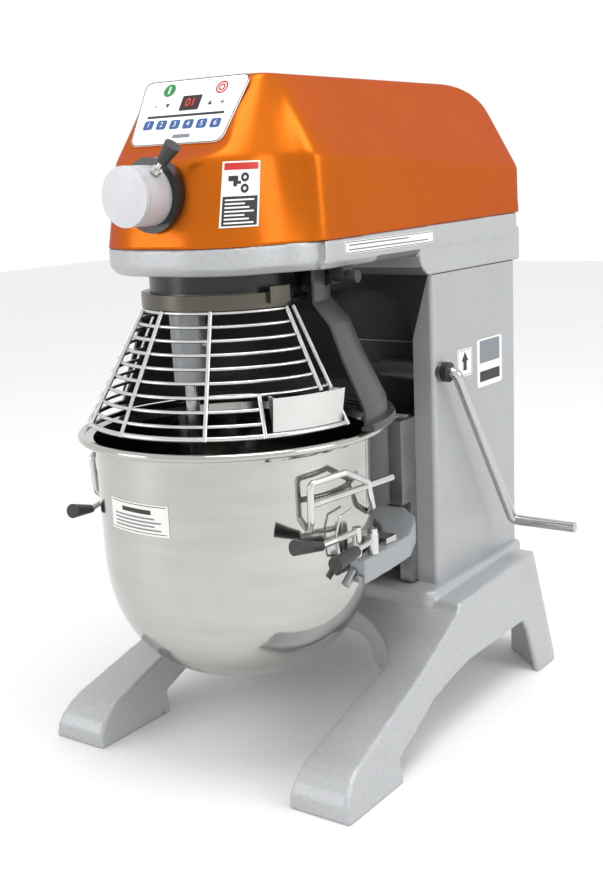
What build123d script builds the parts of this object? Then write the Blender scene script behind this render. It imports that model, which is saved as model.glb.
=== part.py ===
"""Planetary stand mixer, 20 quart bench class, as separate named solids in millimetres.

+Z is up and the bowl stands towards -Y.  The origin lies on the floor, in the middle of the four
bench-bolt holes.  Depths in the sketches are counted from the bowl axis, which is at Y = AXIS_Y.
"""
from build123d import *
import math
import os

os.makedirs("parts", exist_ok=True)

# ---- driving dimensions -------------------------------------------------------------------
AXIS_Y = -180.0                       # bowl and planetary axis
ENDLESS = 300.0                       # half size of cutting tools that only have to pass through

BASE_HALF, BASE_FRONT, BASE_REAR = 221.8, -116.0, 457.0
BASE_DRAFT = 0.215                    # side walls lean in by this much per mm of height
BASE_TOP = 160.0
BASE_WALL = 9.0
BASE_SKIN = [(-116, 0), (-115, 19), (-108, 31), (-97, 41), (-83, 49), (-44, 61), (11, 78), (80, 97),
             (150, 122), (190, 137), (197, 147), (401, 153), (430, 150), (446, 143), (457, 128),
             (457, 0)]
SIDE_ARCH = [(-3, 0), (2, 27), (26, 35), (100, 62), (190, 76), (350, 77), (358, 60), (364, 0)]
THROAT_HALF, THROAT_R = 141.0, 171.0
TUNNEL_HALF, TUNNEL_TOP = 100.0, 97.0
BENCH_X, BENCH_NEAR, BENCH_FAR = 190.0, -55.0, 415.0
BENCH_BOSS_R, BENCH_HOLE_R, BENCH_DEPTH = 13.0, 4.25, 24.0
PLINTH_HALF, PLINTH_FRONT, PLINTH_TOP = 155.0, 188.0, 157.0

COL_HALF, COL_FRONT, COL_REAR, COL_TOP = 145.0, 224.0, 455.0, 555.0
COL_WALL, LIP_INNER, LIP_DEEP = 10.0, 115.0, 20.0
RECESS_BACK, PARTITION = 300.0, 8.0
RECESS_TOP = 535.0

HEAD_HALF, HEAD_REAR, HEAD_WALL = 147.0, 474.0, 8.0
HEAD_UNDER, HEAD_FLOOR = 581.0, 10.0
SEAM_FRONT, SEAM_REAR = 611.0, 620.0
COVER_REAR, COVER_WALL = 483.0, 4.0
CREASE_FRONT, CREASE_REAR, ROOF, ROOF_HALF = 703.0, 680.0, 791.0, 80.0
HUB_Z, HUB_R, HUB_TIP = 667.7, 31.5, -153.0

BOWL_RIM_R, BOWL_RIM_Z, BOWL_R, BOWL_WALL = 180.8, 398.8, 162.0, 1.6
BOWL_TAPER, BOWL_SHOULDER, BOWL_BOTTOM, BOWL_POWER = 0.011, 274.0, 103.0, 2.4
YOKE_TOP, YOKE_IN_R = 265.0, 170.0

RING_STEP, RING_LOW, RING_HIGH, RING_COUNT = 14.0, 416.5, 540.5, 10
CONE_R, CONE_Z, CONE_SLOPE = 104.0, 526.0, 0.554

MODULE = 2.0
PINION_TEETH, RING_TEETH = 16, 66
ORBIT = MODULE * (RING_TEETH - PINION_TEETH) / 2
ORBIT_ANGLE = -116.0
LIFT_TEETH, LIFT_Y, LIFT_Z = 24, 240.0, 433.0
PULLEY_R, MOTOR_PULLEY_R, MOTOR_Y = 80.0, 22.0, 380.0
BEVEL_TEETH, BEVEL_R = 20, 26.0
FIT = 0.05                            # radial running fit
AIR = 0.4                             # clearance between parts that pass each other

AXIS = Plane(origin=(0, AXIS_Y, 0), x_dir=(1, 0, 0), z_dir=(0, 0, 1))
SIDE = Plane(origin=(0, AXIS_Y, 0), x_dir=(0, 1, 0), z_dir=(1, 0, 0))
FRONT = Plane(origin=(0, AXIS_Y, 0), x_dir=(1, 0, 0), z_dir=(0, -1, 0))
SPINDLE = Axis((0, AXIS_Y, 0), (0, 0, 1))
PANEL = Plane(origin=(0, AXIS_Y - 51.5, 753), x_dir=(1, 0, 0), z_dir=(0, -0.8266, 0.5626))


# ---- helpers ------------------------------------------------------------------------------
def save(builder, name):
    """Label a finished sub-part and write it as its own STEP file."""
    builder.part.label = name
    export_step(builder.part, f"parts/{name}.step")


def at(x, depth, z):
    """A point given by its depth behind the bowl axis."""
    return (x, AXIS_Y + depth, z)


def block(x0, x1, d0, d1, z0, z1):
    """A plain box between two corners."""
    with BuildPart() as box:
        with BuildSketch(AXIS.offset(z0)):
            with Locations(((x0 + x1) / 2, (d0 + d1) / 2)):
                Rectangle(x1 - x0, d1 - d0)
        extrude(amount=z1 - z0)
    return box.part


def drum(plane, radius, length, bore=0.0):
    """A round bar or a tube standing on a plane."""
    with BuildPart() as body:
        with BuildSketch(plane):
            Circle(radius)
            if bore > 0:
                Circle(bore, mode=Mode.SUBTRACT)
        extrude(amount=length)
    return body.part


def pole(start, end, r_start, r_end=None):
    """A straight bar, or a cone, between two points."""
    run = Vector(*end) - Vector(*start)
    with BuildPart() as body:
        with BuildSketch(Plane(origin=start, z_dir=run)):
            Circle(r_start)
        if r_end is None:
            extrude(amount=run.length)
        else:
            with BuildSketch(Plane(origin=end, z_dir=run)):
                Circle(r_end)
            loft()
    return body.part


def bent_rod(points, radius, bend):
    """A round rod with rounded bends."""
    with BuildPart() as body:
        with BuildLine() as path:
            FilletPolyline(*points, radius=bend)
        with BuildSketch(Plane(origin=path.line @ 0, z_dir=path.line % 0)):
            Circle(radius)
        sweep(path=path.line)
    return body.part


def spun(profile, start, arc):
    """A radius and height outline turned about the bowl axis from a start angle."""
    a = math.radians(start)
    with BuildPart() as body:
        with BuildSketch(Plane(origin=(0, AXIS_Y, 0), x_dir=(math.cos(a), math.sin(a), 0),
                               z_dir=(math.sin(a), -math.cos(a), 0))):
            Polygon(*profile, align=None)
        revolve(axis=SPINDLE, revolution_arc=arc)
    return body.part


def hoop(radius, z, wire, start, arc):
    """A round wire bent about the bowl axis."""
    a = math.radians(start)
    with BuildPart() as body:
        with BuildSketch(Plane(origin=(0, AXIS_Y, 0), x_dir=(math.cos(a), math.sin(a), 0),
                               z_dir=(math.sin(a), -math.cos(a), 0))):
            with Locations((radius, z)):
                Circle(wire)
        revolve(axis=SPINDLE, revolution_arc=arc)
    return body.part


def gear_points(teeth, pitch_r, add, ded, phase=0.0, share=0.42):
    """Corner points of a straight-flanked gear outline."""
    points = []
    step = 2 * math.pi / teeth
    for i in range(teeth):
        mid = i * step + phase
        for turn, radius in ((-share * 0.72, pitch_r - ded), (-share * 0.3, pitch_r + add),
                             (share * 0.3, pitch_r + add), (share * 0.72, pitch_r - ded)):
            points.append((radius * math.cos(mid + turn * step), radius * math.sin(mid + turn * step)))
    return points


def polar(radius, degrees):
    """Plan position around the bowl axis."""
    return (radius * math.cos(math.radians(degrees)), radius * math.sin(math.radians(degrees)))


def mirrored(points):
    """A half outline that starts on the centre line, completed to the other side."""
    return [(-x, y) for x, y in reversed(points[1:])] + list(points)


# ---- base ---------------------------------------------------------------------------------
def base_shape(inset):
    """The outside of the base, or the hollow inside it when inset is the wall thickness."""
    half, front, rear = BASE_HALF - inset, BASE_FRONT + inset, BASE_REAR - inset
    lean = BASE_DRAFT * BASE_TOP
    with BuildPart() as body:
        for z, narrow in ((0, 0), (BASE_TOP, lean)):
            with BuildSketch(AXIS.offset(z)):
                with BuildLine():
                    Polyline((-half + narrow, front), (half - narrow, front), (half - narrow, rear),
                             (-half + narrow, rear), close=True)
                make_face()
                corners = vertices().group_by(Axis.Y)[-1]
                fillet(corners, 53 - inset)
        loft(ruled=True)
        skin = [(y + inset if y < 300 else y - inset, max(z - inset, -inset)) for y, z in BASE_SKIN]
        with BuildSketch(SIDE.offset(-ENDLESS)):
            Polygon(*skin, align=None)
        extrude(amount=2 * ENDLESS, mode=Mode.INTERSECT)
    return body.part


def throat_shape(grow):
    """The open space between the legs, in front of the round inner wall."""
    with BuildPart() as body:
        with BuildSketch(AXIS.offset(-1)):
            Circle(THROAT_R + grow)
            with Locations((0, -150)):
                Rectangle(2 * (THROAT_R + grow), 300)
        extrude(amount=BASE_TOP + 20)
        with BuildSketch(FRONT.offset(-ENDLESS)):
            with BuildLine():
                w = THROAT_HALF + grow
                Polyline((-w, -1), (w, -1), (w + 12, BASE_TOP + 20), (-w - 12, BASE_TOP + 20),
                         close=True)
            make_face()
        extrude(amount=2 * ENDLESS, mode=Mode.INTERSECT)
    return body.part


def tunnel_shape():
    """The arch through the round wall and the wider one through the rear wall."""
    with BuildPart() as body:
        with BuildSketch(FRONT.offset(-60)):
            Polygon((-TUNNEL_HALF, -1), (TUNNEL_HALF, -1), (TUNNEL_HALF, 62), (84, 90),
                    (60, TUNNEL_TOP), (-60, TUNNEL_TOP), (-84, 90), (-TUNNEL_HALF, 62), align=None)
        extrude(amount=-440)
        with BuildSketch(FRONT.offset(-423)):
            Polygon((-151, -1), (151, -1), (140, 60), (100, TUNNEL_TOP), (-100, TUNNEL_TOP),
                    (-140, 60), align=None)
        extrude(amount=-80)
    return body.part


base_outside = base_shape(0)
with BuildPart() as base_hollow:
    add(base_shape(BASE_WALL))
    add(throat_shape(BASE_WALL), mode=Mode.SUBTRACT)
with BuildPart() as foot_walls:
    for side in (1, -1):
        with BuildSketch(AXIS):
            Polygon((side * 225, -3), (side * 140, 12), (side * 140, 3), (side * 225, -12), align=None)
            Polygon((side * 225, 362), (side * 150, 424), (side * 150, 436), (side * 225, 374),
                    align=None)
            Polygon((side * 150, 424), (side * 150, 460), (side * 159, 460), (side * 159, 424),
                    align=None)
        extrude(amount=BASE_TOP)
    for x in (-BENCH_X, BENCH_X):
        for depth in (BENCH_NEAR, BENCH_FAR):
            add(drum(Plane(origin=at(x, depth, 0)), BENCH_BOSS_R, BASE_TOP))
    add(base_outside, mode=Mode.INTERSECT)
    add(throat_shape(0), mode=Mode.SUBTRACT)
with BuildPart() as base_casting:
    add(base_outside)
    add(throat_shape(0), mode=Mode.SUBTRACT)
    add(base_hollow.part, mode=Mode.SUBTRACT)
    with BuildSketch(SIDE.offset(-ENDLESS)):
        Polygon(*SIDE_ARCH, align=None)
    extrude(amount=2 * ENDLESS, mode=Mode.SUBTRACT)
    add(tunnel_shape(), mode=Mode.SUBTRACT)
    add(foot_walls.part)
    with BuildSketch(AXIS.offset(140)):
        with Locations((0, (PLINTH_FRONT + BASE_REAR) / 2)):
            RectangleRounded(2 * PLINTH_HALF, BASE_REAR - PLINTH_FRONT, 14)
    extrude(amount=PLINTH_TOP - 140)
    for x in (-BENCH_X, BENCH_X):
        for depth in (BENCH_NEAR, BENCH_FAR):
            add(drum(Plane(origin=at(x, depth, 0)), BENCH_HOLE_R, BENCH_DEPTH), mode=Mode.SUBTRACT)
    for x in (-118, 118):
        for depth in (330, 430):
            add(drum(Plane(origin=at(x, depth, 141)), 5, 20), mode=Mode.SUBTRACT)
save(base_casting, "base_casting")

# ---- column -------------------------------------------------------------------------------
with BuildPart() as column_casting:
    with BuildSketch(AXIS.offset(PLINTH_TOP)):
        with Locations((0, (COL_FRONT + COL_REAR) / 2)):
            RectangleRounded(2 * COL_HALF, COL_REAR - COL_FRONT, 7)
    extrude(amount=COL_TOP - PLINTH_TOP)
    with BuildSketch(FRONT.offset(-COL_FRONT)):
        with Locations((0, (PLINTH_TOP + RECESS_TOP) / 2)):
            Rectangle(2 * LIP_INNER, RECESS_TOP - PLINTH_TOP)
        fillet(vertices().group_by(Axis.Y)[-1], 60)
    extrude(amount=-(RECESS_BACK - COL_FRONT), mode=Mode.SUBTRACT)
    add(block(-COL_HALF + COL_WALL, COL_HALF - COL_WALL, COL_FRONT + LIP_DEEP, RECESS_BACK,
              PLINTH_TOP + 12, RECESS_TOP - 75), mode=Mode.SUBTRACT)
    add(block(-COL_HALF + COL_WALL, COL_HALF - COL_WALL, RECESS_BACK + PARTITION, COL_REAR - 8,
              PLINTH_TOP + 18, COL_TOP), mode=Mode.SUBTRACT)
    add(block(-122, 122, COL_REAR - 8, COL_REAR, PLINTH_TOP + 18, COL_TOP - 18), mode=Mode.SUBTRACT)
    for x in (-118, 118):
        for depth in (330, 430):
            add(drum(Plane(origin=at(x, depth, PLINTH_TOP)), 5, 18), mode=Mode.SUBTRACT)
    add(drum(Plane(origin=at(LIP_INNER, LIFT_Y, LIFT_Z), z_dir=(1, 0, 0)), 13, 40),
        mode=Mode.SUBTRACT)
save(column_casting, "column_casting")

with BuildPart() as column_bolts:
    for x in (-118, 118):
        for depth in (330, 430):
            add(drum(Plane(origin=at(x, depth, 141)), 5, PLINTH_TOP + 18 - 141))
            with BuildSketch(Plane(origin=at(x, depth, PLINTH_TOP + 18))):
                RegularPolygon(9, 6)
            extrude(amount=7)
save(column_bolts, "column_bolts")

SCREW_SPOTS = [(x, z) for x in (-129, 129) for z in (185, 350, 530)]
with BuildPart() as column_rear_cover:
    with BuildSketch(FRONT.offset(-COL_REAR)):
        with Locations((0, 356)):
            RectangleRounded(274, 380, 8)
        for x, z in SCREW_SPOTS:
            with Locations((x, z)):
                Circle(2.5, mode=Mode.SUBTRACT)
        for row in range(8):
            with Locations((0, 440 + 12 * row), ):
                RectangleRounded(150, 5, 2.4, mode=Mode.SUBTRACT)
        with Locations((-70, 205)):
            Circle(10, mode=Mode.SUBTRACT)
    extrude(amount=-2)
save(column_rear_cover, "column_rear_cover")

with BuildPart() as rear_cover_screws:
    for x, z in SCREW_SPOTS:
        add(drum(Plane(origin=at(x, COL_REAR, z), z_dir=(0, 1, 0)), 2.5, 2))
        add(drum(Plane(origin=at(x, COL_REAR + 2, z), z_dir=(0, 1, 0)), 5, 2.5))
save(rear_cover_screws, "rear_cover_screws")

with BuildPart() as cable_gland:
    add(drum(Plane(origin=at(-70, COL_REAR - 12, 205), z_dir=(0, 1, 0)), 10, 14, 5))
    with BuildSketch(Plane(origin=at(-70, COL_REAR + 2, 205), z_dir=(0, 1, 0))):
        RegularPolygon(14, 6)
        Circle(5, mode=Mode.SUBTRACT)
    extrude(amount=10)
    add(drum(Plane(origin=at(-70, COL_REAR + 12, 205), z_dir=(0, 1, 0)), 10, 8, 5))
save(cable_gland, "cable_gland")

# ---- head casting and cover ---------------------------------------------------------------
PLAN_LOW = [(0, -117), (45, -115), (80, -101), (104, -76), (121, -45), (133, -25), (145, -8), (147, 14)]
PLAN_MID = [(0, -105), (40, -103), (71, -90), (93, -67), (108, -39), (126, -24), (143, -13), (147, 14)]
PLAN_TOP = [(0, -24), (40, -24), (62, -23.5), (74, -21), (80, -14), (82, -2), (82.5, 12), (82.6, 30)]


def plan_outline(half_points, inset, rear, corner):
    """Head plan at one height as a flat face."""
    moved = []
    for x, y in half_points:
        reach = math.hypot(x, y)
        if y < 0:
            moved.append((x * (1 - inset / reach), y * (1 - inset / reach)))
        else:
            moved.append((x - inset, y))
    half = moved[-1][0]
    start = moved[-1][1]
    with BuildSketch() as plan:
        with BuildLine():
            Spline(*mirrored(moved), tangents=((0, -1), (0, 1)))
            Polyline((half, start), (half, rear), (-half, rear), (-half, start))
        make_face()
        fillet(vertices().group_by(Axis.Y)[-1], corner)
    return plan.sketch_local


def head_block(inset, low, high):
    """Upright block with the head's lower plan."""
    with BuildPart() as body:
        with BuildSketch(AXIS.offset(low)):
            add(plan_outline(PLAN_LOW, inset, HEAD_REAR - inset, 22 - inset))
        extrude(amount=high - low)
    return body.part


def seam_cutter(above):
    """Everything above, or below, the sloping joint between casting and cover."""
    far = 900 if above else 300
    with BuildPart() as body:
        with BuildSketch(SIDE.offset(-ENDLESS)):
            Polygon((-200, SEAM_FRONT - 1.2), (560, SEAM_REAR + 1.3), (560, far), (-200, far),
                    align=None)
        extrude(amount=2 * ENDLESS)
    return body.part


with BuildPart() as head_casting:
    with BuildSketch(AXIS.offset(HEAD_UNDER)):
        add(plan_outline(PLAN_LOW, 9, HEAD_REAR - 9, 14))
    with BuildSketch(AXIS.offset(HEAD_UNDER + 9)):
        add(plan_outline(PLAN_LOW, 0, HEAD_REAR, 22))
    loft(ruled=True)
    add(head_block(0, HEAD_UNDER + 9, 640))
    with BuildSketch(SIDE.offset(-COL_HALF)):
        with BuildLine():
            Polyline((HEAD_REAR - 2, 600), (HEAD_REAR - 2, COL_TOP), (COL_FRONT, COL_TOP))
            RadiusArc((COL_FRONT, COL_TOP), (COL_FRONT - 27, HEAD_UNDER), 27)
            Polyline((COL_FRONT - 27, HEAD_UNDER), (COL_FRONT - 27, 600), (HEAD_REAR - 2, 600))
        make_face()
    extrude(amount=2 * COL_HALF)
    add(seam_cutter(True), mode=Mode.SUBTRACT)
    add(head_block(HEAD_WALL, HEAD_UNDER + HEAD_FLOOR, 700), mode=Mode.SUBTRACT)
    add(block(-130, 130, COL_FRONT + 10, HEAD_REAR - 22, COL_TOP + 12, 600), mode=Mode.SUBTRACT)
    add(drum(AXIS.offset(HEAD_UNDER), 34, 17))
    add(drum(AXIS.offset(HEAD_UNDER - 1), 28, 3), mode=Mode.SUBTRACT)
    add(drum(AXIS.offset(HEAD_UNDER + 1), 26, 20), mode=Mode.SUBTRACT)
    add(drum(Plane(origin=at(0, MOTOR_Y, 540)), 15, 40), mode=Mode.SUBTRACT)
    for x in (-70, 70):
        add(block(x - 10, x + 10, HEAD_REAR - 9, HEAD_REAR + 4.9, 600, 646))
        add(drum(Plane(origin=at(x, HEAD_REAR - 15, 634), z_dir=(0, 1, 0)), 2.5, 30),
            mode=Mode.SUBTRACT)
    for x in (-118, 118):
        for depth in (262, 430):
            add(drum(Plane(origin=at(x, depth, 540)), 5, 40), mode=Mode.SUBTRACT)
save(head_casting, "head_casting")

with BuildPart() as head_bolts:
    for x in (-118, 118):
        add(drum(Plane(origin=at(x, 430, COL_TOP)), 5, 12))
        add(drum(Plane(origin=at(x, 262, COL_TOP)), 5, 12))
        for depth in (262, 430):
            with BuildSketch(Plane(origin=at(x, depth, COL_TOP + 12))):
                RegularPolygon(9, 6)
            extrude(amount=7)
save(head_bolts, "head_bolts")


def cover_shape(inset):
    """Outside of the head cover, or its hollow when inset is the wall thickness."""
    with BuildPart() as body:
        for low, high, first, last in ((600, CREASE_FRONT, PLAN_LOW, PLAN_MID),
                                       (CREASE_FRONT, ROOF, PLAN_MID, PLAN_TOP)):
            with BuildSketch(AXIS.offset(low)):
                add(plan_outline(first, inset, COVER_REAR - inset, 24 - inset))
            with BuildSketch(AXIS.offset(high)):
                add(plan_outline(last, inset, COVER_REAR - inset, 24 - inset))
            loft(ruled=True)
        cut = 1.3 * inset
        with BuildSketch(SIDE.offset(-ENDLESS)):
            Polygon((-130, 590), (-130, 690), (-104 + inset, 700 - cut), (-80 + inset, 712 - cut),
                    (-76 + cut, 717 - cut), (-27 + cut / 2, ROOF - 2 - inset), (389, ROOF - inset),
                    (443 - inset / 2, 779 - inset), (468 - inset, 765 - inset), (479 - inset, 745),
                    (COVER_REAR - inset, 725), (COVER_REAR - inset, 590), align=None)
        extrude(amount=2 * ENDLESS, mode=Mode.INTERSECT)
    with BuildPart() as roof:
        for depth, crease in ((-130, 708.4), (490, 679.0)):
            with BuildSketch(FRONT.offset(-depth)):
                w = HEAD_HALF - 1.5 - inset
                Polygon((-w - 3, 590), (w + 3, 590), (w, crease - inset / 2),
                        (ROOF_HALF - inset / 2, ROOF - inset), (-ROOF_HALF + inset / 2, ROOF - inset),
                        (-w, crease - inset / 2), align=None)
        loft(ruled=True)
        add(body.part, mode=Mode.INTERSECT)
        add(seam_cutter(True), mode=Mode.INTERSECT)
    return roof.part


cover_outside = cover_shape(0)
hub_plane = Plane(origin=at(0, HUB_TIP, HUB_Z), z_dir=(0, 1, 0))
with BuildPart() as head_cover:
    add(cover_outside)
    add(cover_shape(COVER_WALL), mode=Mode.SUBTRACT)
    add(drum(Plane(origin=at(0, -160, HUB_Z), z_dir=(0, 1, 0)), 39.5, 90), mode=Mode.SUBTRACT)
    with BuildSketch(PANEL.offset(-20)):
        Rectangle(104, 60)
    extrude(amount=40, mode=Mode.SUBTRACT)
    for x in (-70, 70):
        add(drum(Plane(origin=at(x, HEAD_REAR, 634), z_dir=(0, 1, 0)), 2.5, 30), mode=Mode.SUBTRACT)
save(head_cover, "head_cover")

with BuildPart() as head_cover_screws:
    for x in (-70, 70):
        add(drum(Plane(origin=at(x, COVER_REAR - 14, 634), z_dir=(0, 1, 0)), 2.5, 14))
        add(drum(Plane(origin=at(x, COVER_REAR, 634), z_dir=(0, 1, 0)), 5.5, 3))
save(head_cover_screws, "head_cover_screws")

with BuildPart() as control_panel:
    with BuildSketch(PANEL.offset(0.3)):
        Polygon((-64, -41), (64, -41), (74, 43.5), (-74, 43.5), align=None)
        fillet(vertices(), 11)
    extrude(amount=1.4)
save(control_panel, "control_panel")
with BuildPart() as control_board:
    with BuildSketch(PANEL.offset(-16)):
        RectangleRounded(100, 56, 3)
    extrude(amount=16.3)
save(control_board, "control_board")

with BuildPart() as warning_label:
    add(cover_shape(-0.8))
    with BuildSketch(Plane(origin=at(91, -77, 666), x_dir=(0.72, 0.69, 0), z_dir=(0.69, -0.72, 0))):
        RectangleRounded(43, 66, 3)
    extrude(amount=22, both=True, mode=Mode.INTERSECT)
    add(cover_outside, mode=Mode.SUBTRACT)
save(warning_label, "warning_label")
with BuildPart() as side_label:
    with BuildSketch(SIDE.offset(HEAD_HALF)):
        with Locations((125, 602)):
            RectangleRounded(198, 14, 3)
    extrude(amount=0.6)
save(side_label, "side_label")
with BuildPart() as lift_labels:
    with BuildSketch(SIDE.offset(COL_HALF)):
        with Locations((304, 435)):
            RectangleRounded(40, 36, 3)
        with Locations((375, 427)):
            RectangleRounded(72, 64, 4)
    extrude(amount=0.6)
save(lift_labels, "lift_labels")

# ---- attachment hub -----------------------------------------------------------------------
with BuildPart() as hub_housing:
    add(drum(hub_plane, HUB_R, 108))
    add(block(-26, 26, -108, -84.8, HEAD_UNDER + HEAD_FLOOR, HUB_Z))
    add(block(-40, 40, -105, -90, HEAD_UNDER + HEAD_FLOOR, HEAD_UNDER + HEAD_FLOOR + 6))
    add(drum(hub_plane, 15, 108), mode=Mode.SUBTRACT)
    add(drum(Plane(origin=at(0, -64, HUB_Z), z_dir=(0, 1, 0)), 22, 20), mode=Mode.SUBTRACT)
    add(drum(Plane(origin=at(0, -135, HUB_Z), z_dir=(1, 0, 1)), 3 + FIT, 40), mode=Mode.SUBTRACT)
save(hub_housing, "hub_housing")
with BuildPart() as hub_flange:
    add(drum(Plane(origin=at(0, -120, HUB_Z), z_dir=(0, 1, 0)), 39.5, 12, HUB_R))
save(hub_flange, "hub_flange")
with BuildPart() as hub_bearing:
    add(drum(Plane(origin=at(0, -62, HUB_Z), z_dir=(0, 1, 0)), 22, 14, 9 + FIT))
save(hub_bearing, "hub_bearing")
with BuildPart() as hub_cap:
    add(drum(Plane(origin=at(0, -159, HUB_Z), z_dir=(0, 1, 0)), HUB_R, 5.6))
    add(drum(Plane(origin=at(0, -153.4, HUB_Z), z_dir=(0, 1, 0)), 15 - FIT, 12))
save(hub_cap, "hub_cap")
with BuildPart() as thumb_screw:
    s = math.sqrt(0.5)
    add(pole(at(17 * s, -135, HUB_Z + 17 * s), at(47 * s, -135, HUB_Z + 47 * s), 3))
    add(pole(at(34 * s, -135, HUB_Z + 34 * s), at(38 * s, -135, HUB_Z + 38 * s), 6))
    add(pole(at(47 * s, -135, HUB_Z + 47 * s), at(70 * s, -135, HUB_Z + 70 * s), 6, 9))
save(thumb_screw, "thumb_screw")

with BuildPart() as hub_shaft:
    add(drum(Plane(origin=at(0, -128, HUB_Z), z_dir=(0, 1, 0)), 9, 112))
    with BuildSketch(Plane(origin=at(0, -128, HUB_Z), z_dir=(0, 1, 0))):
        Rectangle(9, 9)
    extrude(amount=20, mode=Mode.SUBTRACT)
save(hub_shaft, "hub_shaft")


def bevel(plane, phase, bore):
    """Straight bevel gear that narrows towards the crossing point of the shafts."""
    with BuildPart() as body:
        with BuildSketch(plane):
            Polygon(*gear_points(BEVEL_TEETH, BEVEL_R, 1.6, 2.2, phase, 0.38), align=None)
        with BuildSketch(plane.offset(9)):
            Polygon(*[(x * 17 / 26, y * 17 / 26) for x, y in
                      gear_points(BEVEL_TEETH, BEVEL_R, 1.6, 2.2, phase, 0.38)], align=None)
        loft(ruled=True)
        add(drum(plane, bore, 9), mode=Mode.SUBTRACT)
    return body.part


with BuildPart() as hub_bevel_gear:
    add(bevel(Plane(origin=at(0, -BEVEL_R, HUB_Z), x_dir=(0, 0, -1), z_dir=(0, 1, 0)), 0.0, 9))
save(hub_bevel_gear, "hub_bevel_gear")
with BuildPart() as main_bevel_gear:
    add(bevel(Plane(origin=at(0, 0, HUB_Z - BEVEL_R), x_dir=(0, -1, 0), z_dir=(0, 0, 1)),
              math.pi / BEVEL_TEETH, 12.5))
save(main_bevel_gear, "main_bevel_gear")

# ---- drive train --------------------------------------------------------------------------
with BuildPart() as drive_motor:
    add(drum(Plane(origin=at(0, MOTOR_Y, 350)), 62.5, 195))
    add(drum(Plane(origin=at(0, MOTOR_Y, 545)), 66, 10))
    add(block(62, 84, MOTOR_Y - 25, MOTOR_Y + 25, 430, 500))
    add(drum(Plane(origin=at(0, MOTOR_Y, 480)), 9.5 + FIT, 90), mode=Mode.SUBTRACT)
save(drive_motor, "drive_motor")
with BuildPart() as motor_shaft:
    add(drum(Plane(origin=at(0, MOTOR_Y, 481)), 9.5, 143))
save(motor_shaft, "motor_shaft")
with BuildPart() as motor_pulley:
    add(drum(Plane(origin=at(0, MOTOR_Y, 600)), MOTOR_PULLEY_R, 22, 9.5))
save(motor_pulley, "motor_pulley")
with BuildPart() as inverter_drive:
    add(block(-60, 60, RECESS_BACK + PARTITION, 390, 190, 325))
    for i in range(9):
        add(block(-56 + 12.5 * i, -50 + 12.5 * i, 390, 400, 195, 320))
save(inverter_drive, "inverter_drive")


def belt_face(offset):
    """Area inside a belt line that clears both pulleys by an offset."""
    big, small = PULLEY_R + offset, MOTOR_PULLEY_R + offset
    lean = math.asin((big - small) / MOTOR_Y)
    Circle(big)
    with Locations((0, MOTOR_Y)):
        Circle(small)
    cos, sin = math.cos(lean), math.sin(lean)
    Polygon((big * cos, big * sin), (small * cos, MOTOR_Y + small * sin),
            (-small * cos, MOTOR_Y + small * sin), (-big * cos, big * sin), align=None)


with BuildPart() as drive_belt:
    with BuildSketch(AXIS.offset(603)):
        belt_face(AIR + 4)
    extrude(amount=16)
    with BuildSketch(AXIS.offset(603)):
        belt_face(AIR)
    extrude(amount=16, mode=Mode.SUBTRACT)
save(drive_belt, "drive_belt")

with BuildPart() as bearing_bridge:
    with BuildSketch(AXIS.offset(626)):
        RectangleRounded(248, 62, 10)
        Circle(22, mode=Mode.SUBTRACT)
    extrude(amount=12)
    for x in (-115, 115):
        add(block(x - 7, x + 7, -25, 25, HEAD_UNDER + HEAD_FLOOR, 626))
save(bearing_bridge, "bearing_bridge")
with BuildPart() as main_bearings:
    add(drum(AXIS.offset(583), 26, 14, 12.5 + FIT))
    add(drum(AXIS.offset(626), 22, 12, 12.5 + FIT))
save(main_bearings, "main_bearings")

with BuildPart() as main_shaft:
    add(drum(AXIS.offset(541), 12.5, 110))
save(main_shaft, "main_shaft")
with BuildPart() as driven_pulley:
    add(drum(AXIS.offset(600), PULLEY_R, 22, 12.5))
    with BuildSketch(AXIS.offset(600)):
        Circle(PULLEY_R - 12)
        Circle(28, mode=Mode.SUBTRACT)
    extrude(amount=7, mode=Mode.SUBTRACT)
save(driven_pulley, "driven_pulley")

orbit_x, orbit_y = polar(ORBIT, ORBIT_ANGLE)
orbit_plane = Plane(origin=at(orbit_x, orbit_y, 0))
with BuildPart() as planet_carrier:
    add(drum(AXIS.offset(545.5), 77.5, 12))
    add(drum(AXIS.offset(557), 24, 23))
    add(drum(AXIS.offset(541), 12.5, 45), mode=Mode.SUBTRACT)
    add(drum(orbit_plane.offset(540), 13 + FIT, 30), mode=Mode.SUBTRACT)
save(planet_carrier, "planet_carrier")

with BuildPart() as drip_ring:
    with BuildSketch(AXIS.offset(560)):
        Circle(87)
        Circle(75, mode=Mode.SUBTRACT)
    extrude(amount=HEAD_UNDER - 560)
save(drip_ring, "drip_ring")
with BuildPart() as ring_gear:
    with BuildSketch(AXIS.offset(562)):
        Circle(75)
        Polygon(*gear_points(RING_TEETH, MODULE * RING_TEETH / 2, 2.4, 1.8, 0.0, 0.58), align=None,
                mode=Mode.SUBTRACT)
    extrude(amount=14)
save(ring_gear, "ring_gear")
with BuildPart() as planet_pinion:
    mesh = math.radians(ORBIT_ANGLE)
    slot = round(mesh / (2 * math.pi / RING_TEETH)) * (2 * math.pi / RING_TEETH)
    roll = mesh + (slot - mesh) * RING_TEETH / PINION_TEETH
    with BuildSketch(orbit_plane.offset(562.5)):
        Polygon(*gear_points(PINION_TEETH, MODULE * PINION_TEETH / 2, 1.8, 2.4, roll, 0.40),
                align=None)
        Circle(9, mode=Mode.SUBTRACT)
    extrude(amount=13)
save(planet_pinion, "planet_pinion")

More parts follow.
